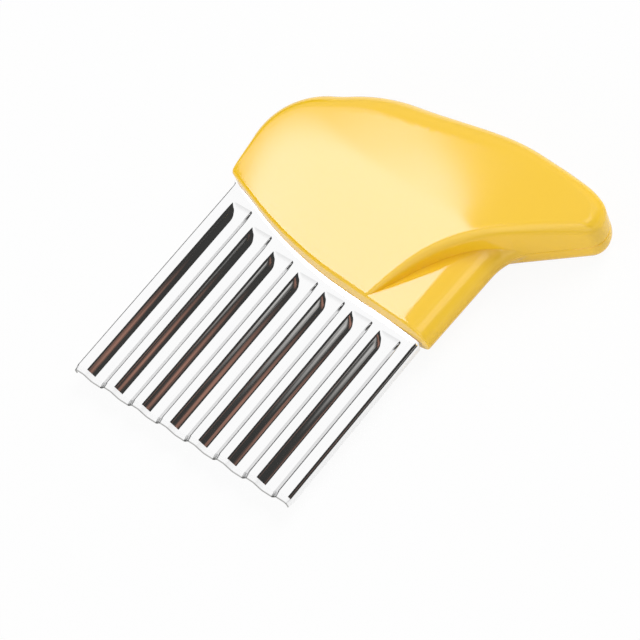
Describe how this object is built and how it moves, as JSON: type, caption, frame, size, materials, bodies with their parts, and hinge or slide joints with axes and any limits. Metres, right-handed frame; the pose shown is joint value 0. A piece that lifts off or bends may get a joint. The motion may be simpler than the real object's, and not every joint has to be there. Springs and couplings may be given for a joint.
{
  "type": "crinkle cutter",
  "caption": "Crinkle cutter: a corrugated steel blade clamped in a moulded wing-shaped handle whose tail hooks past the blade, for cutting vegetables into wavy slices.",
  "frame": {"origin": "under the middle of the part's box, in the plane of the handle's flat back panel", "axes": "+X along the cutting edge towards the tail, +Y from the cutting edge to the palm edge, +Z out of the handle's front"},
  "size_m": [0.0914, 0.1016, 0.0174],
  "materials": {
    "handle_front": "glossy moulded yellow",
    "handle_rear": "glossy moulded yellow",
    "blade_steel": "polished stainless sheet"
  },
  "bodies": {
    "root": {"front_shell": "handle_front", "rear_shell": "handle_rear", "blade": "blade_steel"}
  },
  "joints": []
}
